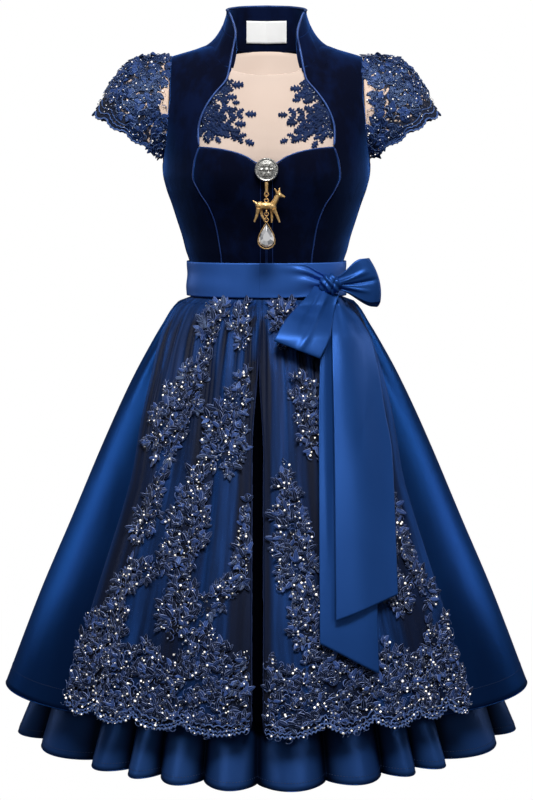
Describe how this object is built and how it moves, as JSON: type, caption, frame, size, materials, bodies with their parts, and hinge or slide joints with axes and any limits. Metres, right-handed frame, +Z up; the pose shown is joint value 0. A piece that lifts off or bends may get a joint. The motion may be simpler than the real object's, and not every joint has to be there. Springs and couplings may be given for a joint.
{
  "type": "dirndl dress with apron, sash bow and underskirt",
  "caption": "Midnight-blue dirndl in worn form: velvet bodice with keyhole yoke, lace cap sleeves, satin skirt, lace apron, sash tied in a bow, ruffled underskirt.",
  "frame": {"origin": "midway between the two shoulder points, level with the outer ends of the shoulder seams, where the wearer's shoulders hold the dress up", "axes": "+Z up; -Y is the front of the dress; +X is the wearer's left, the side of the bow"},
  "size_m": [0.8537, 0.7048, 1.1694],
  "materials": {
    "velvet": "silk velvet with a blue sheen on turned-away parts",
    "piping_satin": "satin-covered cord",
    "skirt_satin": "duchesse satin",
    "sash_satin": "bright satin ribbon cloth",
    "lace": "embroidered and beaded lace on net",
    "skin_net": "fine stretch net",
    "label_cloth": "woven satin label, bare",
    "silver": "antique silver",
    "gilt": "polished gilding",
    "crystal": "faceted clear stone"
  },
  "bodies": {
    "root": {"bodice_centre_front_left": "velvet", "bodice_centre_front_right": "velvet", "bodice_side_front_left": "velvet", "bodice_side_front_right": "velvet", "bodice_back": "velvet", "stand_collar": "velvet", "net_yoke": "skin_net", "back_neck_facing": "skin_net", "yoke_lace_left": "lace", "yoke_lace_right": "lace", "keyhole_piping_left": "piping_satin", "keyhole_piping_right": "piping_satin", "sweetheart_piping_left": "piping_satin", "sweetheart_piping_right": "piping_satin", "collar_edge_piping_left": "piping_satin", "collar_edge_piping_right": "piping_satin", "collar_top_piping": "piping_satin", "neck_label": "label_cloth", "cap_sleeve_left": "lace", "cap_sleeve_right": "lace", "skirt": "skirt_satin", "underskirt": "skirt_satin", "ruffle": "skirt_satin", "apron": "lace", "sash_band": "sash_satin", "bow_knot": "sash_satin", "bow_loop_outer": "sash_satin", "bow_loop_lower": "sash_satin", "sash_tail_front": "sash_satin", "sash_tail_back": "sash_satin", "silver_button": "silver", "fawn_charm": "gilt", "drop_links": "gilt", "drop_setting": "gilt", "drop_stone": "crystal"}
  },
  "joints": []
}
